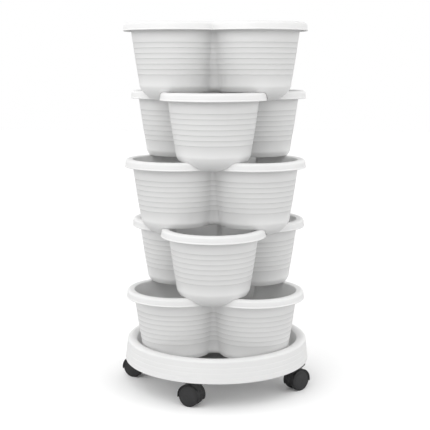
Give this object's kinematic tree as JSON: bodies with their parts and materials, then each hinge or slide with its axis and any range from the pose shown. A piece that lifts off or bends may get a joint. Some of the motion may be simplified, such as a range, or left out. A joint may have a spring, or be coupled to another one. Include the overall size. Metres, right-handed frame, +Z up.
{
  "type": "vertical planter tower",
  "caption": "Stacking trefoil planters, each turned against the next, in a round saucer on swivelling twin-wheel casters.",
  "frame": {"origin": "floor level, on the vertical axis of the tower", "axes": "+Z up the tower; -Y towards the front, where the second and fourth tiers have a lobe; +X to the right"},
  "size_m": [0.3683, 0.357, 0.6849],
  "materials": {
    "white_plastic": "satin moulded polypropylene, off-white",
    "black_nylon": "moulded black nylon, faint sheen",
    "grey_nylon": "dark grey nylon wheel, matt",
    "steel": "bright zinc-plated steel"
  },
  "bodies": {
    "base": {"saucer": "white_plastic", "caster_plate_front": "black_nylon", "king_pin_front": "steel", "caster_plate_right": "black_nylon", "king_pin_right": "steel", "caster_plate_back": "black_nylon", "king_pin_back": "steel", "caster_plate_left": "black_nylon", "king_pin_left": "steel"},
    "pot_5": {"planter_tier_5": "white_plastic"},
    "pot_4": {"planter_tier_4": "white_plastic"},
    "pot_3": {"planter_tier_3": "white_plastic"},
    "pot_2": {"planter_tier_2": "white_plastic"},
    "pot_1": {"planter_tier_1": "white_plastic"},
    "swivel_front": {"caster_hood_front": "black_nylon", "axle_front": "steel"},
    "roller_front_a": {"wheel_front_a": "grey_nylon"},
    "roller_front_b": {"wheel_front_b": "grey_nylon"},
    "swivel_right": {"caster_hood_right": "black_nylon", "axle_right": "steel"},
    "roller_right_a": {"wheel_right_a": "grey_nylon"},
    "roller_right_b": {"wheel_right_b": "grey_nylon"},
    "swivel_back": {"caster_hood_back": "black_nylon", "axle_back": "steel"},
    "roller_back_a": {"wheel_back_a": "grey_nylon"},
    "roller_back_b": {"wheel_back_b": "grey_nylon"},
    "swivel_left": {"caster_hood_left": "black_nylon", "axle_left": "steel"},
    "roller_left_a": {"wheel_left_a": "grey_nylon"},
    "roller_left_b": {"wheel_left_b": "grey_nylon"}
  },
  "joints": [
    {"name": "tier_5_lift", "type": "slide", "parent": "base", "child": "pot_5", "axis": [0, 0, 1], "range_m": [0, 0.15]},
    {"name": "tier_4_lift", "type": "slide", "parent": "pot_5", "child": "pot_4", "axis": [0, 0, 1], "range_m": [0, 0.15]},
    {"name": "tier_3_lift", "type": "slide", "parent": "pot_4", "child": "pot_3", "axis": [0, 0, 1], "range_m": [0, 0.15]},
    {"name": "tier_2_lift", "type": "slide", "parent": "pot_3", "child": "pot_2", "axis": [0, 0, 1], "range_m": [0, 0.15]},
    {"name": "tier_1_lift", "type": "slide", "parent": "pot_2", "child": "pot_1", "axis": [0, 0, 1], "range_m": [0, 0.15]},
    {"name": "swivel_front_turn", "type": "hinge", "parent": "base", "child": "swivel_front", "pos_m": [-0.02808, -0.15002, 0.04172], "axis": [0, 0, 1], "continuous": true},
    {"name": "wheel_front_a_spin", "type": "hinge", "parent": "swivel_front", "child": "roller_front_a", "pos_m": [-0.03533, -0.14664, 0.01962], "axis": [-0.4226, -0.9063, 0], "continuous": true},
    {"name": "wheel_front_b_spin", "type": "hinge", "parent": "swivel_front", "child": "roller_front_b", "pos_m": [-0.03533, -0.14664, 0.01962], "axis": [-0.4226, -0.9063, 0], "continuous": true},
    {"name": "swivel_right_turn", "type": "hinge", "parent": "base", "child": "swivel_right", "pos_m": [0.14986, -0.05014, 0.04172], "axis": [0, 0, 1], "continuous": true},
    {"name": "wheel_right_a_spin", "type": "hinge", "parent": "swivel_right", "child": "roller_right_a", "pos_m": [0.15571, -0.04469, 0.01962], "axis": [-0.682, 0.7314, 0], "continuous": true},
    {"name": "wheel_right_b_spin", "type": "hinge", "parent": "swivel_right", "child": "roller_right_b", "pos_m": [0.15571, -0.04469, 0.01962], "axis": [-0.682, 0.7314, 0], "continuous": true},
    {"name": "swivel_back_turn", "type": "hinge", "parent": "base", "child": "swivel_back", "pos_m": [0.03267, 0.15369, 0.04172], "axis": [0, 0, 1], "continuous": true},
    {"name": "wheel_back_a_spin", "type": "hinge", "parent": "swivel_back", "child": "roller_back_a", "pos_m": [0.03155, 0.14577, 0.01962], "axis": [0.9903, -0.1392, 0], "continuous": true},
    {"name": "wheel_back_b_spin", "type": "hinge", "parent": "swivel_back", "child": "roller_back_b", "pos_m": [0.03155, 0.14577, 0.01962], "axis": [0.9903, -0.1392, 0], "continuous": true},
    {"name": "swivel_left_turn", "type": "hinge", "parent": "base", "child": "swivel_left", "pos_m": [-0.15468, 0.01027, 0.04172], "axis": [0, 0, 1], "continuous": true},
    {"name": "wheel_left_a_spin", "type": "hinge", "parent": "swivel_left", "child": "roller_left_a", "pos_m": [-0.16229, 0.01275, 0.01962], "axis": [-0.309, -0.9511, 0], "continuous": true},
    {"name": "wheel_left_b_spin", "type": "hinge", "parent": "swivel_left", "child": "roller_left_b", "pos_m": [-0.16229, 0.01275, 0.01962], "axis": [-0.309, -0.9511, 0], "continuous": true}
  ]
}
